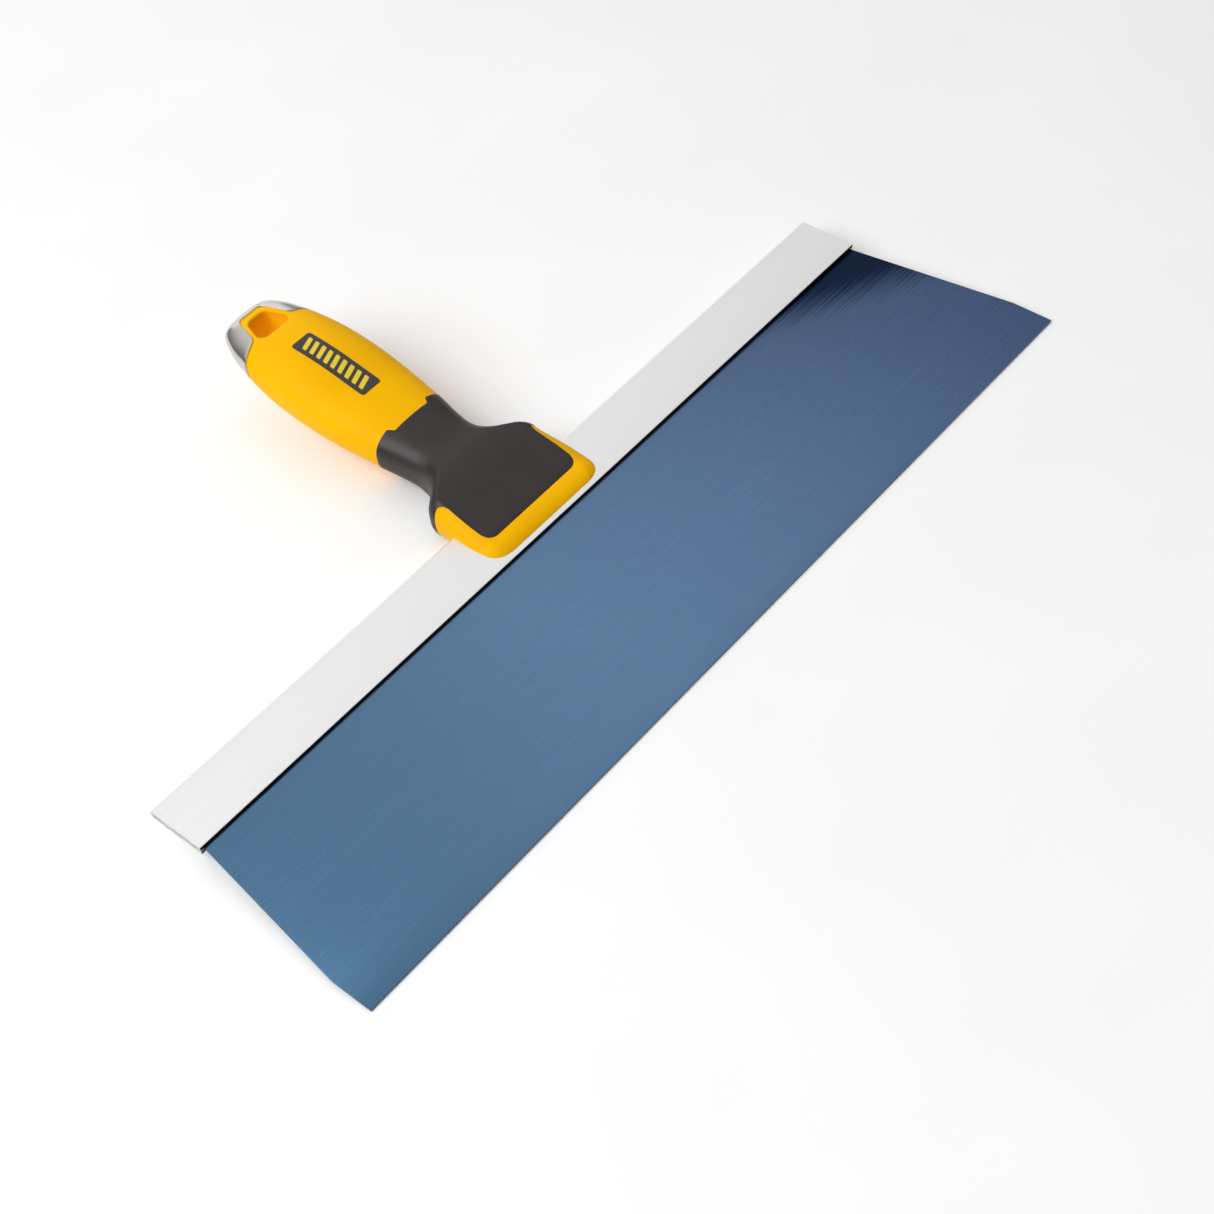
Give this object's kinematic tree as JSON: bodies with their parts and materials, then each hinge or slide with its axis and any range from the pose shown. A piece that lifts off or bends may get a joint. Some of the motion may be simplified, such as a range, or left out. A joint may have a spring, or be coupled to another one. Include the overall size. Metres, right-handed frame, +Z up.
{
  "type": "drywall taping knife",
  "caption": "Wide taping knife: flared blued steel blade in an aluminium back rail, with a cranked, soft-gripped handle and a metal-capped butt with a hang hole.",
  "frame": {"origin": "the point on the bench under the middle of the knife's bounding box, as it lies on its back: on its working edge and on the back of its head", "axes": "+X along the working edge; +Y from the working edge towards the butt; +Z up, out of the knife's face"},
  "size_m": [0.3048, 0.205, 0.0303],
  "materials": {
    "blued_steel": "blued spring steel with a fine ground grain along the blade",
    "rail_aluminium": "satin aluminium",
    "tang_steel": "plain zinc plated steel",
    "rivet_steel": "plain steel",
    "yellow_plastic": "satin moulded polypropylene",
    "black_rubber": "matte soft-touch elastomer",
    "cap_metal": "satin polished cast zinc",
    "badge_plastic": "smooth dark plastic with plain yellow bars"
  },
  "bodies": {
    "root": {"blade": "blued_steel", "back_rail": "rail_aluminium", "tang": "tang_steel", "rivet_1": "rivet_steel", "rivet_2": "rivet_steel", "rivet_3": "rivet_steel", "rivet_4": "rivet_steel", "handle_core": "yellow_plastic", "soft_grip": "black_rubber", "end_cap": "cap_metal", "badge": "badge_plastic"}
  },
  "joints": []
}
